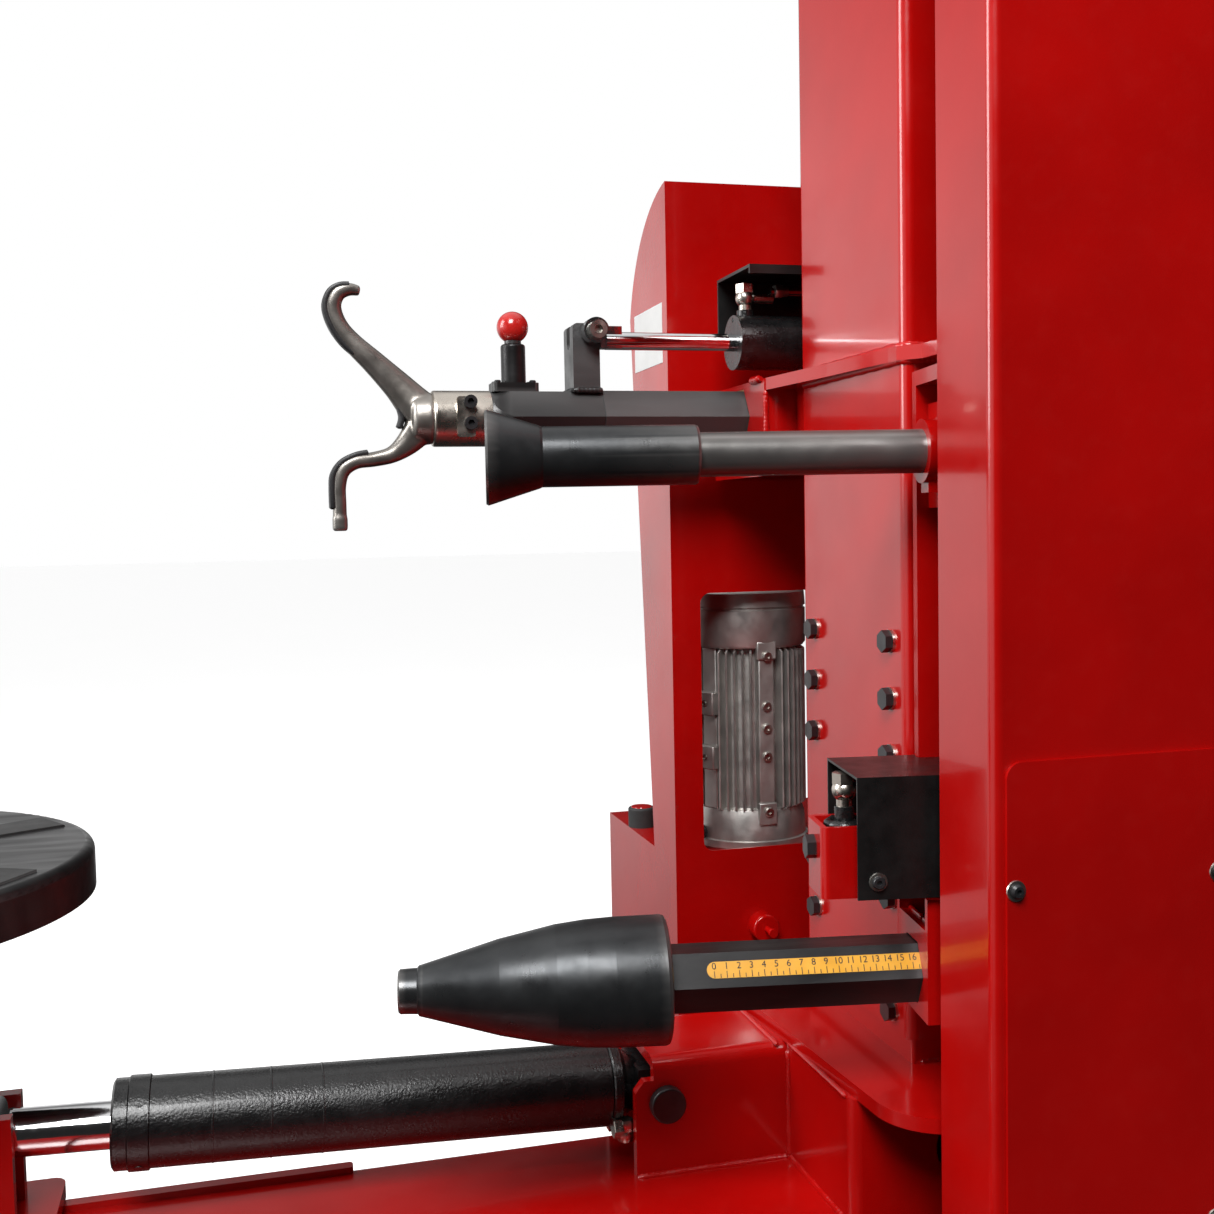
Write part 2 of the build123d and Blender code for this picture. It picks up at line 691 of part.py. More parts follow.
def feed_tube():
    r = feed_tube_r
    tube = turned_x([(feed_gland, 0), (feed_gland, r - 3), (feed_gland + 2, r), (-45, r),
                     (-44, r - 1.5), (-42, r - 1.5), (-41, r), (-35, r), (-30, r - 6), (-14, 22),
                     (-14, 0)], 0, 0)
    eye = rod_y(0, -30, 30, 0, 22) + block(-20, 0, -30, 30, -22, 22)
    bore = rod_x(feed_gland - 1, -60, 0, 0, 20 + fit)
    port = rod_z(-32, -8, -40, -26, 8)
    body = tube + eye + port - bore - rod_y(0, -31, 31, 0, 12.5 + fit)
    return along_feed(body)


rod_eye = -580


def feed_rod():
    rod = rod_x(rod_eye + 20, -70, 0, 0, 20)
    eye = rod_y(rod_eye, -20, 20, 0, 26) + rod_x(rod_eye + 10, rod_eye + 40, 0, 0, 19)
    return along_feed(rod + eye - rod_y(rod_eye, -21, 21, 0, 13.5))


eye_x = feed_pin_x + rod_eye * cos(radians(feed_tilt))
eye_z = feed_pin_z - rod_eye * sin(radians(feed_tilt))


def carriage():
    # saddle that slides on the beam, with the rod's lug and the turntable post
    z0 = beam_z1 + rail_height + gap
    saddle = block(table_x - 190, table_x + 190, -205, 105, z0, z0 + 14)
    saddle = fillet(saddle.edges().filter_by(Axis.Z), 12)
    skirt = [block(table_x - 180, table_x + 180, 92, 102, beam_z1 - 60, z0)]
    skirt.append(block(table_x - 180, table_x + 180, -227, -217, beam_z1 - 60, z0 + 14))
    skirt.append(block(table_x - 180, table_x + 180, -217, -205, z0, z0 + 14))
    post = rod_z(table_x, feed_y, z0 + 14, table_top - 40, 70)
    post -= rod_z(table_x, feed_y, z0 + 20, table_top - 39, 40 + fit)
    lugs = [block(eye_x - 24, eye_x + 24, feed_y + s * 27 - 6, feed_y + s * 27 + 6, z0 + 14, eye_z + 24)
            for s in (-1, 1)]
    return joined([saddle] + skirt + [post] + lugs)


def carriage_pin():
    return rod_y(eye_x, feed_y - 36, feed_y + 36, eye_z, 12)


seat_inner, seat_step = 85, 3


def turntable():
    # disc with a raised wheel seat, and a spindle with a slimmer pilot
    disc = rod_z(table_x, feed_y, table_top - 38, table_top, table_r)
    disc = fillet(disc.edges().sort_by(Axis.Z)[-1:], 8)
    disc -= rod_z(table_x, feed_y, table_top - seat_step, table_top + 1, seat_inner)
    stub = rod_z(table_x, feed_y, beam_z1 + 60, table_top - 38, 40)
    spindle = rod_z(table_x, feed_y, table_top - seat_step, table_top + 145, 18)
    pilot = rod_z(table_x, feed_y, table_top + 145, table_top + 175, 15)
    pilot = chamfer(pilot.edges().sort_by(Axis.Z)[-1:], 2)
    return disc + stub + spindle + pilot


def clamp_cone():
    z0 = table_top - seat_step + gap
    cone = Pos(table_x, feed_y, z0 + 50) * Cone(62, 24, 100)
    return cone - rod_z(table_x, feed_y, z0 - 1, z0 + 101, 18 + fit)


def clamp_nut():
    z0 = table_top - seat_step + gap + 100
    nut = rod_z(table_x, feed_y, z0, z0 + 30, 30)
    bars = rod_x(table_x - 75, table_x + 75, feed_y, z0 + 15, 8)
    return nut + bars - rod_z(table_x, feed_y, z0 - 1, z0 + 31, 18 + fit)


# ---------------------------------------------------------------- build
sill_x = (-1420, -620)
mid_y = (beam_y0 + beam_y1) / 2
foot_places = [(x, mid_y + s * 290) for x in sill_x for s in (-1, 1)]

keep("base_beam", base_beam())
keep("cross_sills", *[cross_sill(x) for x in sill_x])
keep("levelling_feet", *[levelling_foot(x, y) for x, y in foot_places])
keep("carriage_rails", rail(beam_y1 - rail_width, beam_y1), rail(beam_y0, beam_y0 + rail_width))
keep("floor_plate", floor_plate())
keep("pedestal", pedestal())
keep("pedestal_shelf", pedestal_shelf())
keep("clevis_box", clevis_box())
keep("clevis_pin", clevis_pin())
keep("column_shell", column_shell())
keep("column_frame", column_frame())
keep("column_cap", column_cap())
keep("column_washers", *column_washers())
keep("column_bolts", *column_bolts())
keep("upper_gusset", upper_gusset())
keep("arm_bracket", arm_bracket())
keep("arm_liners", *arm_liners())
keep("upper_barrel", upper_barrel())
keep("upper_fitting", swivel_fitting(-127, cyl_y, cyl_z + 46))
keep("upper_cover", upper_cover())
keep("upper_rod", upper_rod())
keep("upper_hex_arm", upper_hex_arm())
keep("arm_lug", arm_lug())
keep("lug_screw", lug_screw())
keep("plunger_guide", plunger_guide())
keep("plunger_pin", plunger_pin())
keep("plunger_spring", plunger_spring())
keep("plunger_knob", plunger_knob())
keep("hook_tool", hook_tool())
keep("tool_collar", tool_collar())
keep("clamp_plate", clamp_plate())
keep("clamp_screws", *clamp_screws())
keep("swing_frame", swing_frame())
keep("pivot_pins", *pivot_pins())
keep("shaft_collar", shaft_collar())
keep("lower_housing", lower_housing())
keep("cylinder_bracket", cylinder_bracket())
keep("bracket_screw", bracket_screw())
keep("lower_barrel", lower_barrel())
keep("lower_fitting", in_frame(swivel_fitting(-124, 0, port_z + 50)))
keep("lower_cover", in_frame(lower_cover()))
keep("roller_shaft", roller_shaft())
keep("tapered_roller", tapered_roller())
keep("lower_hex_arm", lower_hex_arm())
keep("lower_rod", lower_rod())
keep("scale_strip", scale_strip())
keep("bullet_cone", bullet_cone())
keep("rear_guard", rear_guard())
keep("pump_motor", pump_motor())
keep("power_unit", power_unit())
keep("rear_cabinet", rear_cabinet())
keep("rubber_bumper", rubber_bumper())
keep("grease_boss", grease_boss() + grease_nipple())
keep("front_post", front_post())
keep("post_panel", post_panel())
keep("feed_tube", feed_tube())
keep("feed_rod", feed_rod())
keep("carriage", carriage() + carriage_pin())
keep("turntable", turntable())
keep("clamp_cone", clamp_cone() + clamp_nut())

os.makedirs("parts", exist_ok=True)
for name, shape in nodes.items():
    export_step(shape, f"parts/{name}.step")
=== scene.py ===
"""Looks of the tire changer machine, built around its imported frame. Lengths are in metres."""
import json
import math

import bmesh
import bpy
from mathutils import Matrix, Vector


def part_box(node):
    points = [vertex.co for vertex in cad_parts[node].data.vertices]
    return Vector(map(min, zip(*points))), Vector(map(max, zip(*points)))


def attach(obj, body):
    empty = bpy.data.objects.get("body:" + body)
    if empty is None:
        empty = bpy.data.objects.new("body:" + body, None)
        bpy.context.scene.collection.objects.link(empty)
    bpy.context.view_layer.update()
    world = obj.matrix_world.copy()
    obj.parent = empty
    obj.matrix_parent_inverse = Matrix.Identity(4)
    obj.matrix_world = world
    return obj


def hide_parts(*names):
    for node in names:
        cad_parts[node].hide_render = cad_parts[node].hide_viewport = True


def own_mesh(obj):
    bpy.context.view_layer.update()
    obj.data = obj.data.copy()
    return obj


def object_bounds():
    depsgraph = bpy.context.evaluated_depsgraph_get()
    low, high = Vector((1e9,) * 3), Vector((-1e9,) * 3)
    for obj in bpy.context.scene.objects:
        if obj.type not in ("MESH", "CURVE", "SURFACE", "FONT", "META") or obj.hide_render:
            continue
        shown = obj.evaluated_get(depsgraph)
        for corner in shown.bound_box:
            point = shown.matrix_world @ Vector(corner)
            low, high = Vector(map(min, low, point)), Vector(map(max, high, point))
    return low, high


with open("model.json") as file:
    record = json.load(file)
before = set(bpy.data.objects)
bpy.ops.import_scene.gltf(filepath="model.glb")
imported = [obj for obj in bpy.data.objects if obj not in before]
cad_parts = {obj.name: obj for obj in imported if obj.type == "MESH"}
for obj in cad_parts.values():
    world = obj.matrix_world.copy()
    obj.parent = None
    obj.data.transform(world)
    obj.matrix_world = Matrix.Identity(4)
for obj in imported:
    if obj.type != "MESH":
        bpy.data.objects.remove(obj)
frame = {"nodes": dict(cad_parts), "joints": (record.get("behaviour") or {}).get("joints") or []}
cad_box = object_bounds()
nodes = frame["nodes"]

X, Y, Z = Vector((1, 0, 0)), Vector((0, 1, 0)), Vector((0, 0, 1))


# ---------------------------------------------------------------- places read from the frame
def joint(name):
    return next(j for j in frame["joints"] if j["name"] == name)


def low(node):
    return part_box(node)[0]


def high(node):
    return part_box(node)[1]


def centre(node):
    lo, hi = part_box(node)
    return (lo + hi) / 2


swing_pin = Vector(joint("tower_swing")["pos_m"])
swing_in = Vector(joint("roller_arm_slide")["axis"])
swing_turn = Matrix.Rotation(math.atan2(swing_in.y, swing_in.x), 4, "Z")
swing_place = Matrix.Translation((swing_pin.x, swing_pin.y, 0)) @ swing_turn
bar_z = joint("cone_spin")["pos_m"][2]


# ---------------------------------------------------------------- materials
class Shader:
    """A Principled material with short helpers for its node graph."""

    def __init__(self, name, rough=0.5, metal=0.0, **fixed):
        self.material = bpy.data.materials.new(name)
        self.material.use_nodes = True
        self.tree = self.material.node_tree
        self.bsdf = self.tree.nodes["Principled BSDF"]
        self.bsdf.inputs["Roughness"].default_value = rough
        self.bsdf.inputs["Metallic"].default_value = metal
        for socket, value in fixed.items():
            self.bsdf.inputs[socket.replace("_", " ")].default_value = value
        self.place = self.node("ShaderNodeTexCoord").outputs["Object"]

    def node(self, kind, **values):
        made = self.tree.nodes.new(kind)
        for key, value in values.items():
            setattr(made, key, value)
        return made

    def link(self, source, target):
        self.tree.links.new(source, target)

    def stretched(self, scale):
        mapping = self.node("ShaderNodeMapping")
        mapping.inputs["Scale"].default_value = scale
        self.link(self.place, mapping.inputs["Vector"])
        return mapping.outputs["Vector"]

    def noise(self, scale, detail=4.0, stretch=None, rough=0.55):
        texture = self.node("ShaderNodeTexNoise")
        texture.inputs["Scale"].default_value = scale
        texture.inputs["Detail"].default_value = detail
        texture.inputs["Roughness"].default_value = rough
        self.link(self.stretched(stretch) if stretch else self.place, texture.inputs["Vector"])
        return texture.outputs["Fac"]

    def ramp(self, value, stops):
        made = self.node("ShaderNodeValToRGB")
        self.link(value, made.inputs["Fac"])
        ramp = made.color_ramp
        while len(ramp.elements) < len(stops):
            ramp.elements.new(0.5)
        for element, (place, colour) in zip(ramp.elements, stops):
            element.position = place
            element.color = (*colour, 1) if len(colour) == 3 else colour
        return made.outputs["Color"]

    def span(self, value, lo, hi, low_in=0.3, high_in=0.7):
        made = self.node("ShaderNodeMapRange")
        self.link(value, made.inputs["Value"])
        for socket, number in (("From Min", low_in), ("From Max", high_in), ("To Min", lo), ("To Max", hi)):
            made.inputs[socket].default_value = number
        return made.outputs["Result"]

    def mix(self, factor, one, two):
        made = self.node("ShaderNodeMix", data_type="RGBA")
        self.link(factor, made.inputs[0])
        for socket, value in ((made.inputs[6], one), (made.inputs[7], two)):
            if isinstance(value, tuple):
                socket.default_value = (*value, 1)
            else:
                self.link(value, socket)
        return made.outputs[2]

    def colour(self, value):
        self.link(value, self.bsdf.inputs["Base Color"])

    def rough(self, value):
        self.link(value, self.bsdf.inputs["Roughness"])

    def bump(self, height, distance, strength=1.0):
        made = self.node("ShaderNodeBump")
        made.inputs["Distance"].default_value = distance
        made.inputs["Strength"].default_value = strength
        self.link(height, made.inputs["Height"])
        last = self.bsdf.inputs["Normal"]
        if last.is_linked:
            self.link(last.links[0].from_socket, made.inputs["Normal"])
        self.link(made.outputs["Normal"], last)

    def edges(self, lo=0.52, hi=0.62):
        # bright where the surface is a sharp ridge
        pointy = self.node("ShaderNodeNewGeometry").outputs["Pointiness"]
        return self.span(pointy, 0.0, 1.0, lo, hi)


def red_enamel():
    s = Shader("red_enamel", rough=0.2, Coat_Weight=0.35, Coat_Roughness=0.06, Specular_IOR_Level=0.5)
    deep, lit = (0.36, 0.0016, 0.0012), (0.45, 0.0024, 0.0018)
    tone = s.ramp(s.noise(5.0, 3.0), [(0.35, deep), (0.65, lit)])
    dust = s.span(s.noise(60.0, 6.0), 0.0, 0.10, 0.5, 0.8)
    s.colour(s.mix(dust, tone, (0.46, 0.02, 0.016)))
    s.rough(s.span(s.noise(22.0, 5.0), 0.15, 0.27))
    s.bump(s.noise(260.0, 2.0), 0.0004, 0.16)
    s.bump(s.noise(9.0, 1.0), 0.004, 0.12)
    return s.material


def black_bar():
    s = Shader("black_oxide_bar", rough=0.4, metal=0.55)
    dark, pale = (0.012, 0.012, 0.013), (0.028, 0.027, 0.027)
    tone = s.ramp(s.noise(34.0, 6.0, (0.25, 1, 1)), [(0.3, dark), (0.7, pale)])
    s.colour(s.mix(s.edges(), tone, (0.10, 0.10, 0.10)))
    s.rough(s.span(s.noise(48.0, 5.0, (0.15, 1, 1)), 0.28, 0.48))
    s.bump(s.noise(300.0, 3.0, (0.3, 1, 1)), 0.0003, 0.25)
    return s.material


def turned_steel(name, dark, pale, lo=0.24, hi=0.42, metal=0.75):
    # lathe lines run round the part's own axis, which is close to X
    s = Shader(name, rough=0.3, metal=metal)
    smear = s.noise(16.0, 6.0)
    lines = s.noise(900.0, 2.0, (1, 0.01, 0.01))
    s.colour(s.mix(s.edges(), s.ramp(smear, [(0.3, dark), (0.7, pale)]), (0.32, 0.31, 0.30)))
    s.rough(s.span(s.noise(38.0, 5.0), lo, hi))
    s.bump(lines, 0.0003, 0.12)
    s.bump(s.noise(120.0, 5.0), 0.0004, 0.12)
    return s.material


def textured_black():
    # thick semi-gloss paint with a fine orange-peel grain
    s = Shader("textured_black", rough=0.26, Coat_Weight=0.3, Coat_Roughness=0.12)
    s.colour(s.ramp(s.noise(120.0, 4.0), [(0.3, (0.004, 0.004, 0.0042)), (0.7, (0.010, 0.010, 0.0105))]))
    s.rough(s.span(s.noise(55.0, 4.0), 0.2, 0.36))
    s.bump(s.noise(430.0, 3.0), 0.0016, 0.35)
    return s.material


def sheet_black():
    s = Shader("sheet_black", rough=0.34)
    s.colour(s.ramp(s.noise(80.0, 4.0), [(0.3, (0.0045, 0.0045, 0.0045)), (0.7, (0.009, 0.009, 0.009))]))
    s.rough(s.span(s.noise(30.0, 4.0), 0.26, 0.42))
    s.bump(s.noise(500.0, 2.0), 0.0004, 0.2)
    return s.material


def cast_steel():
    s = Shader("cast_tool_steel", rough=0.36, metal=0.85)
    tone = s.ramp(s.noise(24.0, 6.0), [(0.3, (0.15, 0.135, 0.12)), (0.7, (0.30, 0.28, 0.255))])
    s.colour(s.mix(s.edges(0.5, 0.6), tone, (0.55, 0.53, 0.50)))
    s.rough(s.span(s.noise(45.0, 5.0), 0.27, 0.46))
    s.bump(s.noise(150.0, 5.0), 0.0006, 0.22)
    return s.material


def bright_steel(name, tint, rough_lo, rough_hi, grain=90.0):
    s = Shader(name, rough=rough_lo, metal=1.0)
    s.colour(s.ramp(s.noise(grain / 3, 4.0), [(0.3, tuple(0.82 * c for c in tint)), (0.7, tint)]))
    s.rough(s.span(s.noise(grain, 5.0), rough_lo, rough_hi))
    s.bump(s.noise(grain * 4, 3.0), 0.0002, 0.1)
    return s.material


def cast_aluminium():
    s = Shader("cast_aluminium", rough=0.42, metal=0.85)
    s.colour(s.ramp(s.noise(30.0, 6.0), [(0.3, (0.46, 0.44, 0.42)), (0.7, (0.66, 0.64, 0.61))]))
    s.rough(s.span(s.noise(60.0, 4.0), 0.34, 0.52))
    s.bump(s.noise(420.0, 3.0), 0.0005, 0.25)
    return s.material


def black_plastic(name="black_plastic", colour=(0.010, 0.010, 0.011), rough=0.45):
    s = Shader(name, rough=rough)
    s.colour(s.ramp(s.noise(70.0, 5.0), [(0.3, colour), (0.7, tuple(1.8 * c for c in colour))]))
    s.rough(s.span(s.noise(40.0, 4.0), rough - 0.08, rough + 0.1))
    s.bump(s.noise(600.0, 2.0), 0.0003, 0.25)
    return s.material


def knob_red():
    s = Shader("knob_red", rough=0.22, Coat_Weight=0.5, Coat_Roughness=0.08)
    s.colour(s.ramp(s.noise(40.0, 3.0), [(0.3, (0.42, 0.012, 0.010)), (0.7, (0.52, 0.018, 0.014))]))
    s.rough(s.span(s.noise(60.0, 4.0), 0.16, 0.3))
    s.bump(s.noise(90.0, 2.0), 0.0003, 0.15)
    return s.material


def scale_vinyl():
    s = Shader("scale_vinyl", rough=0.38, Coat_Weight=0.2, Coat_Roughness=0.2)
    s.colour(s.ramp(s.noise(50.0, 4.0), [(0.3, (0.70, 0.33, 0.018)), (0.7, (0.82, 0.41, 0.03))]))
    s.rough(s.span(s.noise(90.0, 3.0), 0.3, 0.46))
    s.bump(s.noise(300.0, 2.0), 0.0001, 0.2)
    return s.material


def label_white():
    s = Shader("label_white", rough=0.4)
    s.colour(s.ramp(s.noise(30.0, 4.0), [(0.3, (0.60, 0.60, 0.59)), (0.7, (0.70, 0.70, 0.69))]))
    s.rough(s.span(s.noise(60.0, 3.0), 0.34, 0.5))
    s.bump(s.noise(200.0, 2.0), 0.0001, 0.2)
    return s.material


RED = red_enamel()
BAR = black_bar()
ROLLER = turned_steel("turned_roller", (0.030, 0.032, 0.034), (0.060, 0.062, 0.064))
SHAFT = turned_steel("turned_shaft", (0.035, 0.034, 0.032), (0.085, 0.082, 0.076), 0.28, 0.46)
TUBE_BLACK = textured_black()
SHEET_BLACK = sheet_black()
CAST = cast_steel()
CHROME = bright_steel("chrome", (0.85, 0.85, 0.86), 0.06, 0.14)
ZINC = bright_steel("zinc", (0.60, 0.58, 0.53), 0.24, 0.4)
NICKEL = bright_steel("satin_nickel", (0.66, 0.60, 0.53), 0.22, 0.36)
BRONZE = bright_steel("bronze", (0.48, 0.33, 0.16), 0.3, 0.45)
ALUMINIUM = cast_aluminium()
PLASTIC = black_plastic()
RUBBER = black_plastic("rubber", (0.014, 0.014, 0.014), 0.62)
BOLT_BLACK = black_plastic("bolt_black", (0.012, 0.012, 0.013), 0.34)
KNOB = knob_red()
VINYL = scale_vinyl()
INK = black_plastic("ink", (0.006, 0.005, 0.005), 0.5)
LABEL = label_white()

by_material = {
    RED: """base_beam cross_sills floor_plate pedestal pedestal_shelf clevis_box column_shell column_frame
        column_cap upper_gusset arm_bracket swing_frame shaft_collar lower_housing cylinder_bracket
        rear_guard rear_cabinet grease_boss front_post post_panel carriage carriage_rails""",
    BAR: "upper_hex_arm lower_hex_arm arm_lug plunger_guide turntable",
    ROLLER: "tapered_roller bullet_cone clamp_cone",
    SHAFT: "roller_shaft",
    TUBE_BLACK: "feed_tube upper_barrel lower_barrel power_unit",
    SHEET_BLACK: "upper_cover lower_cover",
    CAST: "hook_tool pivot_pins",
    NICKEL: "tool_collar clamp_plate upper_fitting lower_fitting",
    CHROME: "upper_rod lower_rod feed_rod",
    ZINC: "column_washers plunger_pin plunger_spring lug_screw",
    BRONZE: "arm_liners",
    ALUMINIUM: "pump_motor",
    RUBBER: "rubber_bumper levelling_feet",
    BOLT_BLACK: "column_bolts clevis_pin clamp_screws bracket_screw",
    KNOB: "plunger_knob",
    VINYL: "scale_strip",
}
for material, names in by_material.items():
    for name in names.split():
        slots = nodes[name].data.materials
        slots.clear()
        slots.append(material)


# ---------------------------------------------------------------- mesh tools
SHARP = math.radians(38)         # edges steeper than this stay crisp
# screw heads as (height, radius) profiles, each with a recess in the middle
COVER_SCREW = [(0, 0.0052), (0.0022, 0.0052), (0.0034, 0.0043), (0.0034, 0.0022), (0.0016, 0.002)]
PANEL_SCREW = [(0, 0.0055), (0.002, 0.0055), (0.0038, 0.004), (0.0038, 0.002), (0.002, 0.0019)]
MOTOR_SCREW = [(0, 0.0055), (0.003, 0.0055), (0.004, 0.0045), (0.004, 0.0024), (0.002, 0.0022)]
GUIDE_SCREW = [(0, 0.0034), (0.002, 0.0034), (0.0028, 0.0025)]


def piece(name, make, body, material, place=None, bevel=0.0):
    """A mesh object filled by make(bm), put in place and set to ride on a body."""
    bm = bmesh.new()
    make(bm)
    bmesh.ops.recalc_face_normals(bm, faces=bm.faces)
    mesh = bpy.data.meshes.new(name)
    bm.to_mesh(mesh)
    bm.free()
    if place:
        mesh.transform(place)
    made = bpy.data.objects.new(name, mesh)
    bpy.context.scene.collection.objects.link(made)
    mesh.materials.append(material)
    mesh.shade_smooth()
    mesh.set_sharp_from_angle(angle=SHARP)
    if bevel:
        rounding = made.modifiers.new("edges", "BEVEL")
        rounding.width = bevel
        rounding.segments = 2
        rounding.limit_method = "ANGLE"
    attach(made, body)
    return made


def rings(bm, loops):
    """Skins a list of equally long vertex loops and closes both ends."""
    made = [[bm.verts.new(p) for p in loop] for loop in loops]
    count = len(made[0])
    for one, two in zip(made, made[1:]):
        for k in range(count):
            bm.faces.new((one[k], one[(k + 1) % count], two[(k + 1) % count], two[k]))
    bm.faces.new(made[0])
    bm.faces.new(made[-1])


def circle(at, first, second, radius, count):
    """A closed line of points round a point, in the plane of two directions."""
    return [Vector(at) + radius * (math.cos(a) * first + math.sin(a) * second)
            for a in (2 * math.pi * k / count for k in range(count + 1))]


def lathe(bm, profile, at, axis=Z, sides=40):
    """Turns (height, radius) pairs round an axis through a point."""
    turn = axis.to_track_quat("Z", "Y")
    loops = []
    for height, radius in profile:
        ring = [(radius * math.cos(a), radius * math.sin(a), height)
                for a in (2 * math.pi * k / sides for k in range(sides))]
        loops.append([Vector(at) + turn @ Vector(p) for p in ring])
    rings(bm, loops)


def hexagon(bm, across, height, at, axis=Z):
    """A nut or bolt head with chamfered corners; across is its width over flats."""
    r = across / 2 / math.cos(math.pi / 6)
    lathe(bm, [(0, 0.93 * r), (0.08 * height, r), (0.86 * height, r), (height, 0.88 * r)], at, axis, 6)


def brick(bm, lo, hi):
    centre_point = (Vector(lo) + Vector(hi)) / 2
    size = Vector(hi) - Vector(lo)
    bmesh.ops.create_cube(bm, size=1, matrix=Matrix.LocRotScale(centre_point, None, size))


def smooth_path(points, steps=8):
    """Catmull-Rom points through the given ones; each may carry extra numbers after x, y, z."""
    ends = [points[0]] + list(points) + [points[-1]]
    out = []
    for a, b, c, d in zip(ends, ends[1:], ends[2:], ends[3:]):
        for k in range(steps):
            t = k / steps
            out.append([0.5 * (2 * q + (r - p) * t + (2 * p - 5 * q + 4 * r - w) * t * t
                               + (3 * q - p - 3 * r + w) * t ** 3)
                        for p, q, r, w in zip(a, b, c, d)])
    out.append(list(points[-1]))
    return out


def swept(bm, path, side, sides=20, square=2.6):
    """A rounded bar along a path of (x, y, z, half width, half depth); side is its depth direction."""
    loops = []
    for k, (x, y, z, wide, deep) in enumerate(path):
        before, after = path[max(k - 1, 0)], path[min(k + 1, len(path) - 1)]
        ahead = (Vector(after[:3]) - Vector(before[:3])).normalized()
        across = side.cross(ahead).normalized()
        ring = []
        for a in (2 * math.pi * j / sides for j in range(sides)):
            c, s = math.cos(a), math.sin(a)
            stretch = (abs(c) ** square + abs(s) ** square) ** (-1 / square)
            ring.append(Vector((x, y, z)) + across * wide * c * stretch + side * deep * s * stretch)
        loops.append(ring)
    rings(bm, loops)


def bead(bm, path, radius, seed=1):
    """A weld bead: a low rope of overlapping ripples along a polyline."""
    step = radius * 0.45
    points = []
    for a, b in zip(path, path[1:]):
        a, b = Vector(a), Vector(b)
        count = max(2, int((b - a).length / step))
        points += [a.lerp(b, k / count) for k in range(count)]
    points.append(Vector(path[-1]))
    loops = []
    for k, p in enumerate(points):
        ahead = (points[min(k + 1, len(points) - 1)] - points[max(k - 1, 0)]).normalized()
        turn = ahead.to_track_quat("Z", "Y")
        wave = 1 + 0.10 * math.sin(k * 2.1 + seed) + 0.07 * math.sin(k * 0.37 + 2 * seed)
        taper = min(1.0, 0.55 + 0.15 * k, 0.55 + 0.15 * (len(points) - 1 - k))
        r = radius * wave * taper
        loops.append([p + turn @ Vector((r * math.cos(a), r * math.sin(a), 0))
                      for a in (2 * math.pi * j / 10 for j in range(10))])
    rings(bm, loops)


# ---------------------------------------------------------------- hook arm
HOOK = centre("tool_collar").y


def hook_casting():
    """Two prongs from one hub, melted together; the prongs are x, z in metres, then half sizes in mm."""
    y = HOOK
    upper = [(-0.452, 0.931, 20, 17), (-0.466, 0.943, 19, 15), (-0.484, 0.963, 15, 12),
             (-0.506, 0.985, 12, 10.5), (-0.529, 1.007, 9.8, 9.5), (-0.541, 1.023, 9, 9),
             (-0.546, 1.040, 8.6, 9), (-0.541, 1.053, 7.8, 9), (-0.530, 1.0575, 6.2, 8.5),
             (-0.519, 1.056, 4.6, 7.5)]
    lower = [(-0.452, 0.931, 20, 17), (-0.464, 0.920, 16, 15), (-0.477, 0.906, 12, 12),
             (-0.492, 0.8955, 8.4, 10), (-0.510, 0.891, 7.4, 9), (-0.528, 0.8885, 7.2, 9),
             (-0.541, 0.880, 7.6, 9), (-0.545, 0.865, 7, 9), (-0.545, 0.848, 6.8, 9),
             (-0.545, 0.833, 6.8, 9)]

    def make(bm):
        for line in (upper, lower):
            path = [(x, y, z, w / 1000, d / 1000) for x, z, w, d in line]
            swept(bm, smooth_path(path), Y)
        foot = [(-0.545, y, z, 0.0073, 0.0098) for z in (0.836, 0.834, 0.822, 0.8205)]
        foot[0] = (*foot[0][:3], 0.006, 0.0085)
        foot[-1] = (*foot[-1][:3], 0.006, 0.0085)
        swept(bm, foot, Y, square=5)
        lathe(bm, [(0, 0.020), (0.003, 0.0235), (0.018, 0.026), (0.021, 0.025)], (-0.472, y, 0.931), X)

    made = piece("hook_casting", make, "hook", CAST)
    melt = made.modifiers.new("melt", "REMESH")
    melt.mode = "VOXEL"
    melt.voxel_size = 0.0016
    melt.use_smooth_shade = True
    ease = made.modifiers.new("ease", "SMOOTH")
    ease.factor = 0.5
    ease.iterations = 6
    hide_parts("hook_tool")


def hook_inserts():
    y = HOOK
    lines = {
        "upper": [(-0.5255, 0.9945), (-0.538, 1.006), (-0.5485, 1.022), (-0.5535, 1.040), (-0.549, 1.054),
                  (-0.5395, 1.0605), (-0.529, 1.0615)],
        "crotch": [(-0.4885, 0.953), (-0.4835, 0.942), (-0.4815, 0.932), (-0.4845, 0.9215)],
        "lower": [(-0.5155, 0.8975), (-0.528, 0.895), (-0.542, 0.888), (-0.5505, 0.876), (-0.552, 0.862),
                  (-0.552, 0.842)],
    }
    for name, line in lines.items():
        path = smooth_path([(x, y, z, 0.0032, 0.0078) for x, z in line])
        path[0] = (*path[0][:3], 0.001, 0.005)
        path[-1] = (*path[-1][:3], 0.001, 0.005)
        piece(f"hook_insert_{name}", lambda bm, p=path: swept(bm, p, Y, square=4), "hook",
              PLASTIC)


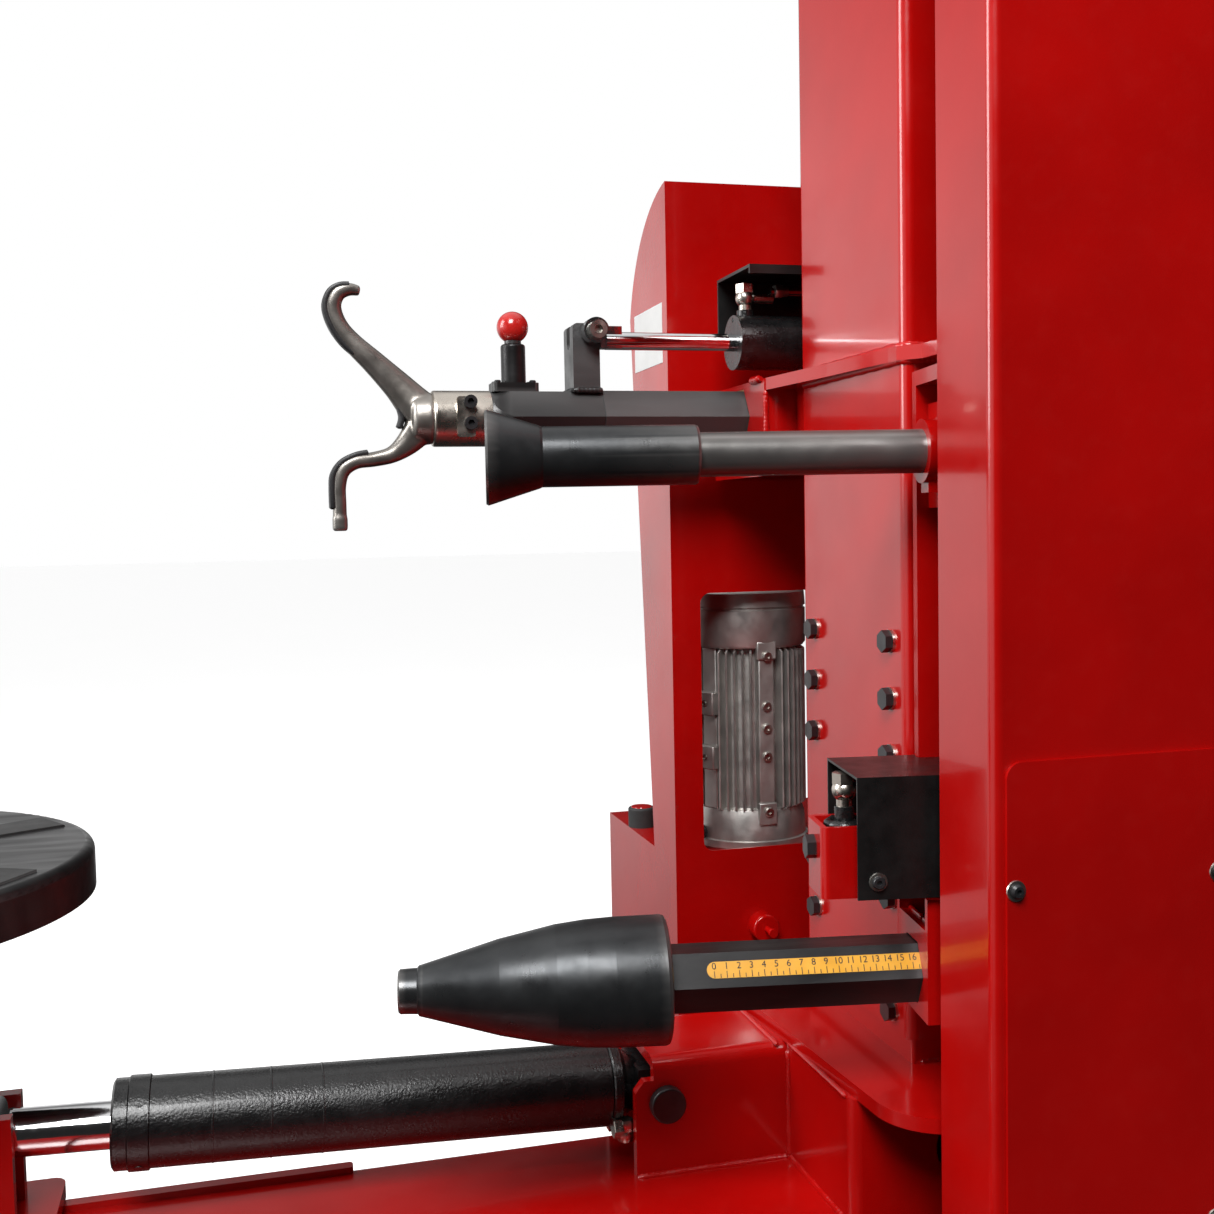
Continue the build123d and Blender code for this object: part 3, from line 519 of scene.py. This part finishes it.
def arm_details():
    y, top = HOOK, high("upper_hex_arm").z
    lug_lo, lug_hi = low("arm_lug"), high("arm_lug")
    ring = [(lug_lo.x, lug_lo.y, top), (lug_hi.x, lug_lo.y, top), (lug_hi.x, lug_hi.y, top),
            (lug_lo.x, lug_hi.y, top), (lug_lo.x, lug_lo.y, top)]
    piece("lug_weld", lambda bm: bead(bm, ring, 0.003), "hook_arm", BAR)
    base_lo, base_hi = low("plunger_guide"), high("plunger_guide")
    inset, aside, seat = 0.006, 0.008, 0.009

    def screws(bm):
        for x in (base_lo.x + inset, base_hi.x - inset):
            for side_y in (y - aside, y + aside):
                lathe(bm, GUIDE_SCREW, (x, side_y, base_lo.z + seat))
    piece("plunger_guide_screws", screws, "hook_arm", BOLT_BLACK)
    spring_lo, spring_hi = low("plunger_spring").z, high("plunger_spring").z
    wire, coil, turns, steps, pressed = 0.0011, 0.0079, 6, 28, 0.46
    mid_x = centre("plunger_pin").x

    def spring(bm):
        loops = []
        rise = (spring_hi - spring_lo - 2 * wire) / (turns * steps)
        for k in range(turns * steps + 1):
            a = 2 * math.pi * k / steps
            out = Vector((math.cos(a), math.sin(a), 0))
            at = Vector((mid_x, y, spring_lo + wire + rise * k)) + out * coil
            loops.append([at + out * wire * math.cos(b) + Z * wire * math.sin(b)
                          for b in (2 * math.pi * j / 10 for j in range(10))])
        rings(bm, loops)
    wound = piece("plunger_coil", spring, "hook_arm", ZINC)
    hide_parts("plunger_spring")
    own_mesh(wound)
    knob_foot = 1.0065
    collar = [(0, 0.0085), (0.004, 0.0085), (0.005, 0.0075)]
    piece("knob_collar", lambda bm: lathe(bm, collar, (mid_x, y, knob_foot)), "plunger", BAR)


def pipe_run(name, start, end, body, nut_places):
    """A straight steel pipe with sleeve nuts at distances along it."""
    radius = 0.004
    start, end = Vector(start), Vector(end)
    ahead = (end - start).normalized()
    length = (end - start).length

    def pipe(bm):
        lathe(bm, [(0, radius), (length, radius)], start, ahead, 24)

    def nuts(bm):
        for place in nut_places:
            hexagon(bm, radius * 3.2, 0.009, start + ahead * place, ahead)
            lathe(bm, [(0, radius * 1.35), (0.006, radius * 1.2)], start + ahead * (place + 0.009), ahead, 24)
    piece(name, pipe, body, CHROME)
    piece(name + "_nuts", nuts, body, ZINC)


def upper_cylinder_details():
    lo, hi = low("upper_fitting"), high("upper_fitting")
    y = centre("upper_fitting").y
    pipe_z = lo.z + 0.0205
    pipe_run("upper_pipe", (hi.x - 0.002, y, pipe_z), (high("upper_cover").x - 0.004, y, pipe_z),
             "frame", (0.004, 0.075))
    crown = circle((lo.x + 0.010, y, lo.z - 0.010), X, Y, 0.011, 12)
    piece("upper_port_weld", lambda bm: bead(bm, crown, 0.0036), "frame", TUBE_BLACK)


# ---------------------------------------------------------------- swing frame
def lower_cylinder_details():
    """Cover screws on both sides, the port's weld and the pipe; stations along the swing frame."""
    places = [(x, side) for x in (-0.110, 0.020) for side in (-1, 1)]
    aside, screw_z, washer = 0.047, 0.541, 0.0012

    def screw_heads(bm):
        for x, side in places:
            out = Vector((0, side, 0))
            lathe(bm, COVER_SCREW, Vector((x, side * aside, screw_z)) + out * washer, out, 24)

    def washers(bm):
        for x, side in places:
            lathe(bm, [(0, 0.0074), (washer, 0.0070)], (x, side * aside, screw_z), Vector((0, side, 0)), 28)
    piece("lower_cover_screws", screw_heads, "swing_tower", BOLT_BLACK, swing_place)
    piece("lower_cover_washers", washers, "swing_tower", ZINC, swing_place)
    crown = circle((-0.124, 0, 0.577), X, Y, 0.0125, 12)
    pool = [(-0.136, -0.010, 0.573), (-0.124, -0.013, 0.572), (-0.108, -0.011, 0.573)]

    def port_weld(bm):
        bead(bm, crown, 0.005, 3)
        bead(bm, pool, 0.007, 5)
        bead(bm, [(x, -y, z) for x, y, z in pool], 0.007, 2)
    piece("lower_port_weld", port_weld, "swing_tower", TUBE_BLACK, swing_place)
    pipe_from, pipe_to = (swing_place @ Vector((x, 0, 0.605)) for x in (-0.094, 0.034))
    pipe_run("lower_pipe", pipe_from, pipe_to, "swing_tower", (0.004,))


def swing_welds():
    cheek_y, cheek_x, web_x, shaft_height = 0.0405, -0.0525, -0.0425, 0.875

    def make(bm):
        for side in (-1, 1):
            bead(bm, [(cheek_x, side * cheek_y, 0.424), (cheek_x, side * cheek_y, 0.521)], 0.0026, side)
            bead(bm, [(-0.060, side * 0.034, 0.4975), (-0.060, side * 0.002, 0.4975)], 0.002, side)
        bead(bm, circle((web_x, 0, shaft_height), Y, Z, 0.0265, 24), 0.0028, 4)
        bead(bm, [(web_x, -0.009, 0.846), (web_x, 0.009, 0.846)], 0.002)
    piece("swing_welds", make, "swing_tower", RED, swing_place)


def scale_marks():
    """Centimetre ticks and figures on the lower arm's strip."""
    first_x, division, last = -0.2352, 0.010, 17
    long_tick, short_tick, tick_half, ink = 0.0052, 0.0031, 0.00028, 0.00012
    lower_edge, figure_base = -0.0062, 0.0006
    strip_face = 0.024 + 0.00052
    lean = math.radians(30)
    face = (swing_place
            @ Matrix.Translation((0, -strip_face * math.cos(lean), bar_z + strip_face * math.sin(lean)))
            @ Matrix.Rotation(math.radians(60), 4, "X"))

    def ticks(bm):
        for k in range(2 * last + 1):
            x = first_x + k * division / 2
            tall = long_tick if k % 2 == 0 else short_tick
            brick(bm, (x - tick_half, lower_edge, 0), (x + tick_half, lower_edge + tall, ink))
    piece("scale_ticks", ticks, "lower_arm", INK, face)
    for k in range(last + 1):
        words = bpy.data.curves.new(f"figure_{k}", "FONT")
        words.body = str(k)
        words.size = 0.0074
        words.align_x = "CENTER"
        words.extrude = ink / 2
        figure = bpy.data.objects.new(f"figure_{k}", words)
        bpy.context.scene.collection.objects.link(figure)
        figure.matrix_world = face @ Matrix.Translation((first_x + k * division, figure_base, ink / 2))
        words.materials.append(INK)
        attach(figure, "lower_arm")


# ---------------------------------------------------------------- column and frame welds
def frame_welds():
    top = high("upper_gusset").z
    under = low("upper_gusset").z
    column_lo, column_hi = low("column_shell"), high("column_shell")
    clevis_lo, clevis_hi = low("clevis_box"), high("clevis_box")
    ped_lo = low("pedestal")
    shelf_lo, shelf_hi = low("pedestal_shelf"), high("pedestal_shelf")
    beam_hi = high("base_beam")
    x, y = column_lo.x, column_lo.y
    corner = [(x, y + 0.010), (x + 0.003, y + 0.003), (x + 0.010, y)]
    bracket_x = low("arm_bracket").x - 0.001
    front, joint_x, floor = clevis_lo.y, ped_lo.x, beam_hi.z

    def make(bm):
        for z in (top, under):
            around = [(x, column_hi.y - 0.01)] + corner + [(0.088, y)]
            bead(bm, [(a, b, z) for a, b in around], 0.0035, 1)
        bead(bm, [(bracket_x, 0.140, top), (bracket_x, 0.170, top)], 0.004, 2)
        bead(bm, [(-0.1235, 0.134, under), (-0.1235, 0.134, 0.870)], 0.003, 2)
        bead(bm, [(clevis_lo.x, front, floor), (joint_x, front, floor)], 0.0038, 3)
        bead(bm, [(joint_x, front, floor), (joint_x, front, clevis_hi.z - 0.012),
                  (joint_x, front + 0.012, clevis_hi.z)], 0.0032, 4)
        bead(bm, [(joint_x, ped_lo.y + 0.01, floor), (joint_x, front, floor)], 0.0034, 5)
        bead(bm, [(joint_x, clevis_hi.y, floor), (joint_x, high("pedestal").y, floor)], 0.0034, 5)
        bead(bm, [(joint_x, ped_lo.y + 0.01, shelf_lo.z), (joint_x, front, shelf_lo.z)], 0.0026, 6)
        bead(bm, [(shelf_lo.x, front, shelf_lo.z), (shelf_lo.x, clevis_hi.y, shelf_lo.z)], 0.0026, 6)
        for side_y in (column_lo.y + 0.008, column_hi.y - 0.008):
            bead(bm, [(-0.090, side_y, shelf_hi.z), (0.090, side_y, shelf_hi.z)], 0.004, 7)
    piece("frame_welds", make, "frame", RED)


def post_screws():
    panel_lo, panel_hi = low("post_panel"), high("post_panel")
    in_x, in_z, washer = 0.007, 0.092, 0.001
    places = [(x, z) for x in (panel_lo.x + in_x, panel_hi.x - in_x)
              for z in (panel_lo.z + in_z, panel_hi.z - in_z)]

    def heads(bm):
        for x, z in places:
            lathe(bm, PANEL_SCREW, (x, panel_lo.y - washer, z), -Y, 24)

    def washers(bm):
        for x, z in places:
            lathe(bm, [(0, 0.0078), (washer, 0.0074)], (x, panel_lo.y, z), -Y, 28)
    piece("post_panel_screws", heads, "frame", BOLT_BLACK)
    piece("post_panel_washers", washers, "frame", ZINC)


def port_details():
    x, y = -0.318, 0.012

    def nut(bm):
        lathe(bm, [(0, 0.007), (0.006, 0.0085), (0.010, 0.007)], (x, y, 0.2575), Z, 24)
        hexagon(bm, 0.014, 0.011, (x, y, 0.2665))
        hexagon(bm, 0.017, 0.009, (x - 0.012, y, 0.270), X)
    piece("feed_port_nut", nut, "feed_cylinder", NICKEL)


def feed_tube_details():
    """Seams, end ring and gland round the tube; stations run from its pin along its axis."""
    pin = Vector(joint("feed_tilt")["pos_m"])
    ahead = Vector(joint("feed_extend")["axis"])
    turn = ahead.to_track_quat("Z", "Y")
    seam = [(0, 0.0380), (0.0004, 0.03835), (0.0012, 0.03835), (0.0016, 0.0380)]
    ring = [(0, 0.0375), (0.001, 0.0392), (0.006, 0.0392), (0.0075, 0.0375)]
    cap = [(0, 0.0370), (0.0015, 0.0396), (0.018, 0.0396), (0.0195, 0.0375)]
    plug = [(0, 0.004), (0.0012, 0.0036)]

    def seams(bm):
        for station in (0.3965, 0.3475, 0.3035):
            lathe(bm, seam, pin + ahead * station, ahead, 64)

    def end_ring(bm):
        lathe(bm, ring, pin + ahead * 0.0365, ahead, 64)

    def gland(bm):
        lathe(bm, cap, pin + ahead * 0.448, ahead, 64)
        for k in range(4):
            a = math.radians(45 + 90 * k)
            out = turn @ Vector((math.cos(a), math.sin(a), 0))
            lathe(bm, plug, pin + ahead * 0.457 + out * 0.0388, out, 20)
    piece("feed_tube_seams", seams, "feed_cylinder", TUBE_BLACK)
    piece("feed_tube_end_ring", end_ring, "feed_cylinder", TUBE_BLACK)
    piece("feed_tube_gland", gland, "feed_cylinder", TUBE_BLACK)


# ---------------------------------------------------------------- motor, guard and cabinet
def motor():
    """Finned motor; radii count in from its outside r, heights up from its foot."""
    lo, hi = low("pump_motor"), high("pump_motor")
    x, y, foot = (lo.x + hi.x) / 2, (lo.y + hi.y) / 2, lo.z
    r = (hi.x - lo.x) / 2
    pad_angle, lug_angle, plug_angle = math.radians(269.1), math.radians(205.6), math.radians(197.6)
    first_fin, fin_count = math.radians(249.6), 44
    core = 0.018                     # depth of the finless barrel under the outside
    shell = [(0, 0.002), (0.002, 0), (0.010, 0), (0.011, 0.003), (0.034, 0.004), (0.046, 0.008),
             (0.048, 0.016), (0.236, 0.016), (0.238, 0.004), (0.242, 0.001), (0.282, 0.001),
             (0.283, 0.003), (0.285, 0.003), (0.286, 0.0008), (0.302, 0.002), (0.3075, 0.008),
             (0.309, 0.018)]

    def outward(angle):
        return Vector((math.cos(angle), math.sin(angle), 0))

    def at(angle, radius, height):
        return Vector((x, y, foot + height)) + outward(angle) * radius

    def apart(one, two):
        return abs((one - two + math.pi) % (2 * math.pi) - math.pi)

    def bricks(bm, angle, boxes):
        """Boxes as (depth of inner face, depth of outer face, y from, y to, z from, z to)."""
        start = len(bm.verts)
        for inner, outer, y0, y1, z0, z1 in boxes:
            brick(bm, (r - inner, y0, foot + z0), (r - outer, y1, foot + z1))
        bm.verts.ensure_lookup_table()
        turn = Matrix.Translation((x, y, 0)) @ Matrix.Rotation(angle, 4, "Z")
        bmesh.ops.transform(bm, matrix=turn, verts=bm.verts[start:])

    def casting(bm):
        lathe(bm, [(height, r - depth) for height, depth in shell], (x, y, foot), Z, 96)
        for k in range(fin_count):
            a = first_fin + (k + 0.5) * 2 * math.pi / fin_count
            if apart(a, pad_angle) < 0.16 or apart(a, lug_angle) < 0.20:
                continue
            across = Vector((-math.sin(a), math.cos(a), 0))
            loops = []
            for height, depth in ((0.044, 0.010), (0.049, 0.002), (0.233, 0.002), (0.239, 0.010)):
                tip = r - depth
                profile = ((r - core, -0.0017), (tip - 0.001, -0.0012), (tip, 0), (tip - 0.001, 0.0012),
                           (r - core, 0.0017))
                loops.append([at(a, radius, height) + across * w for radius, w in profile])
            rings(bm, loops)

    def pads(bm):
        bricks(bm, pad_angle, [(core, 0.004, -0.0095, 0.0095, 0.040, 0.245),
                               (0.008, 0.001, -0.012, 0.012, 0.225, 0.246),
                               (0.008, 0.001, -0.011, 0.011, 0.030, 0.056)])
        bricks(bm, lug_angle, [(core, 0.008, -0.011, 0.011, 0.046, 0.238),
                               (0.012, -0.001, -0.016, 0.014, 0.158, 0.186),
                               (0.012, -0.001, -0.016, 0.014, 0.094, 0.122)])

    def screws(bm):
        for height, depth in ((0.229, 0.0012), (0.170, 0.0042), (0.144, 0.0042), (0.111, 0.0042),
                              (0.046, 0.0012)):
            lathe(bm, MOTOR_SCREW, at(pad_angle, r - depth, height), outward(pad_angle), 24)
        eyelet = [(0, 0.0040), (0.0008, 0.0040), (0.0008, 0.0028), (-0.001, 0.0026)]
        for height in (0.172, 0.108):
            lathe(bm, eyelet, at(lug_angle, r + 0.001, height), outward(lug_angle), 20)

    def plug(bm):
        lathe(bm, [(0, 0.008), (0.010, 0.008), (0.012, 0.0065)], at(plug_angle, r - 0.004, 0.017),
              outward(plug_angle), 24)

    def grille(bm):
        for k in range(5):
            ring = 0.012 + 0.010 * k
            profile = [(0, ring + 0.0012), (0.0012, ring), (0, ring - 0.0012)]
            lathe(bm, profile, (x, y, hi.z + 0.0002), Z, 48)

    def terminal_box(bm):
        wall = y + r
        brick(bm, (x - 0.045, wall - 0.012, foot + 0.130), (x + 0.045, wall + 0.030, foot + 0.210))
        brick(bm, (x - 0.048, wall + 0.0305, foot + 0.127), (x + 0.048, wall + 0.037, foot + 0.213))

    body = piece("motor_casting", casting, "frame", ALUMINIUM)
    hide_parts("pump_motor")
    piece("motor_pads", pads, "frame", ALUMINIUM, bevel=0.0015)
    piece("motor_screws", screws, "frame", ZINC)
    piece("motor_plug", plug, "frame", PLASTIC)
    piece("motor_fan_grille", grille, "frame", PLASTIC)
    piece("motor_terminal_box", terminal_box, "frame", PLASTIC, bevel=0.003)


def guard_details():
    side = low("rear_guard").x
    cab_lo, cab_hi = low("rear_cabinet"), high("rear_cabinet")
    bumper_top = high("rubber_bumper").z
    bumper = centre("rubber_bumper")

    def label(bm):
        brick(bm, (side - 0.0004, 0.319, 1.003), (side - 0.00005, 0.431, 1.070))

    def louvres(bm):
        end, slope, wall = 0.07, 0.005, cab_hi.y
        stations = [(cab_lo.x + end, 0.0008), (cab_lo.x + end + slope, 0.0068),
                    (cab_hi.x - end - slope, 0.0068), (cab_hi.x - end, 0.0008)]
        for k in range(7):
            z = 0.14 + 0.030 * k
            rings(bm, [[(x, wall - 0.001, z), (x, wall + out, z + 0.002), (x, wall + 0.0004, z + 0.016),
                        (x, wall - 0.001, z + 0.016)] for x, out in stations])

    def corner_screws(bm):
        for x in (cab_lo.x + 0.022, cab_hi.x - 0.022):
            for z in (0.060, cab_hi.z - 0.04):
                hexagon(bm, 0.010, 0.004, (x, cab_hi.y + 0.0002, z), Y)

    def bumper_cap(bm):
        lathe(bm, [(0, 0.0135), (0.0008, 0.0130)], (bumper.x, bumper.y, bumper_top), Z, 32)

    piece("guard_label", label, "frame", LABEL)
    piece("cabinet_louvres", louvres, "frame", RED)
    piece("cabinet_screws", corner_screws, "frame", BOLT_BLACK)
    piece("bumper_cap", bumper_cap, "frame", RED)


# ---------------------------------------------------------------- wheel table and base
def table_details():
    spin = Vector(joint("table_spin")["pos_m"])
    top, reach, pad_count = 0.560, 0.155, 6
    pad = ((-0.060, 0.0002, 0.018), (-0.058, 0.0018, 0.020), (0.058, 0.0018, 0.024), (0.060, 0.0002, 0.022))

    def pads(bm):
        for k in range(pad_count):
            a = math.radians(360 / pad_count * k + 30)
            out, across = Vector((math.cos(a), math.sin(a), 0)), Vector((-math.sin(a), math.cos(a), 0))
            middle = Vector((spin.x, spin.y, 0)) + out * reach
            loops = []
            for along, lift, half in pad:
                loops.append([middle + out * along + side * across * half + Z * (top + z)
                              for side, z in ((-1, -0.001), (-1, lift), (1, lift), (1, -0.001))])
            rings(bm, loops)
    piece("table_pads", pads, "wheel_table", RUBBER)


def floor_fixings():
    places = [(x, y) for x in (-0.26, 0.26) for y in (-0.19, 0.19)]
    washer_z, nut_z = 0.0121, 0.0152

    def bolts(bm):
        for x, y in places:
            hexagon(bm, 0.024, 0.010, (x, y, nut_z))
            lathe(bm, [(0, 0.0079), (0.022, 0.0079), (0.024, 0.0065)], (x, y, nut_z), Z, 24)

    def washers(bm):
        for x, y in places:
            lathe(bm, [(0, 0.0148), (0.003, 0.0146)], (x, y, washer_z), Z, 32)
    piece("anchor_nuts", bolts, "frame", ZINC)
    piece("anchor_washers", washers, "frame", ZINC)


hook_casting()
hook_inserts()
arm_details()
upper_cylinder_details()
lower_cylinder_details()
swing_welds()
scale_marks()
frame_welds()
post_screws()
port_details()
feed_tube_details()
motor()
guard_details()
table_details()
floor_fixings()


# ---------------------------------------------------------------- stage, light and camera
def world_light(tree):
    """White towards the wheel side and the back, dark in front, soft from above."""
    made = tree.nodes.new
    link = tree.links.new
    look = made("ShaderNodeTexCoord").outputs["Generated"]

    def fade(direction, start, end, reach):
        dot = made("ShaderNodeVectorMath")
        dot.operation = "DOT_PRODUCT"
        dot.inputs[1].default_value = Vector(direction).normalized()
        link(look, dot.inputs[0])
        span = made("ShaderNodeMapRange")
        span.interpolation_type = "SMOOTHSTEP"
        for socket, value in (("From Min", start), ("From Max", end), ("To Min", 0.0), ("To Max", reach)):
            span.inputs[socket].default_value = value
        link(dot.outputs["Value"], span.inputs["Value"])
        return span.outputs["Result"]

    def maths(kind, one, two):
        step = made("ShaderNodeMath")
        step.operation = kind
        for socket, value in zip(step.inputs, (one, two)):
            if isinstance(value, float):
                socket.default_value = value
            else:
                link(value, socket)
        return step.outputs["Value"]

    back = maths("MULTIPLY", fade((-0.85, 0.53, 0), 0.25, 0.65, 0.95), fade((0, 0, 1), -0.50, 0.05, 1.0))
    band = maths("MULTIPLY", back, maths("SUBTRACT", 1.0, fade((0, 0, 1), 0.12, 0.45, 0.7)))
    above = fade((0, 0.1, 1), 0.6, 0.95, 0.9)
    least = 0.02
    strength = maths("ADD", maths("ADD", band, above), least)
    seen = made("ShaderNodeMix")
    link(made("ShaderNodeLightPath").outputs["Is Camera Ray"], seen.inputs[0])
    link(strength, seen.inputs[2])
    seen.inputs[3].default_value = 1.0
    link(seen.outputs[0], tree.nodes["Background"].inputs["Strength"])


def stage():
    floor_mesh = bpy.data.meshes.new("floor")
    half = 40.0
    z = cad_box[0].z
    corners = [(-half, -half, z), (half, -half, z), (half, half, z), (-half, half, z)]
    floor_mesh.from_pydata(corners, [], [(0, 1, 2, 3)])
    floor = bpy.data.objects.new("floor", floor_mesh)
    bpy.context.scene.collection.objects.link(floor)
    s = Shader("floor_white", rough=0.9, Emission_Color=(1, 1, 1, 1), Emission_Strength=0.6)
    s.colour(s.ramp(s.noise(2.0, 2.0), [(0.3, (0.78, 0.78, 0.78)), (0.7, (0.80, 0.80, 0.80))]))
    floor_mesh.materials.append(s.material)
    floor.visible_glossy = False
    floor.visible_diffuse = False
    world = bpy.data.worlds.new("studio")
    world.use_nodes = True
    world.node_tree.nodes["Background"].inputs["Color"].default_value = (1, 1, 1, 1)
    world_light(world.node_tree)
    bpy.context.scene.world = world
    bpy.context.scene.view_settings.view_transform = "Standard"


def soft_light(name, place, target, size, power):
    data = bpy.data.lights.new(name, "AREA")
    data.shape = "RECTANGLE"
    data.size, data.size_y = size
    data.energy = power
    lamp = bpy.data.objects.new(name, data)
    bpy.context.scene.collection.objects.link(lamp)
    lamp.location = place
    lamp.rotation_mode = "QUATERNION"
    lamp.rotation_quaternion = (Vector(target) - Vector(place)).to_track_quat("-Z", "Y")


def camera():
    # seen from the operator side, a little above the lower arm
    turn, dip, roll = math.radians(14.72), math.radians(3.38), math.radians(1.14)
    ahead = Vector((math.sin(turn), math.cos(turn), 0))
    right = Vector((math.cos(turn), -math.sin(turn), 0))
    forward = math.cos(dip) * ahead - math.sin(dip) * Z
    down = -math.sin(dip) * ahead - math.cos(dip) * Z
    across = math.cos(roll) * right + math.sin(roll) * down
    below = -math.sin(roll) * right + math.cos(roll) * down
    data = bpy.data.cameras.new("camera")
    data.sensor_width = 36.0
    data.lens = 41.04
    eye = bpy.data.objects.new("camera", data)
    bpy.context.scene.collection.objects.link(eye)
    eye.matrix_world = Matrix((across, -below, -forward)).transposed().to_4x4()
    eye.location = (-0.640, -1.185, 0.821)
    bpy.context.scene.camera = eye


stage()
camera()
soft_light("key", (-1.3, -2.0, 3.0), (-0.1, 0, 0.9), (1.4, 1.4), 125)
soft_light("side", (-2.6, 0.4, 1.8), (-0.2, 0, 0.8), (1.0, 1.6), 45)
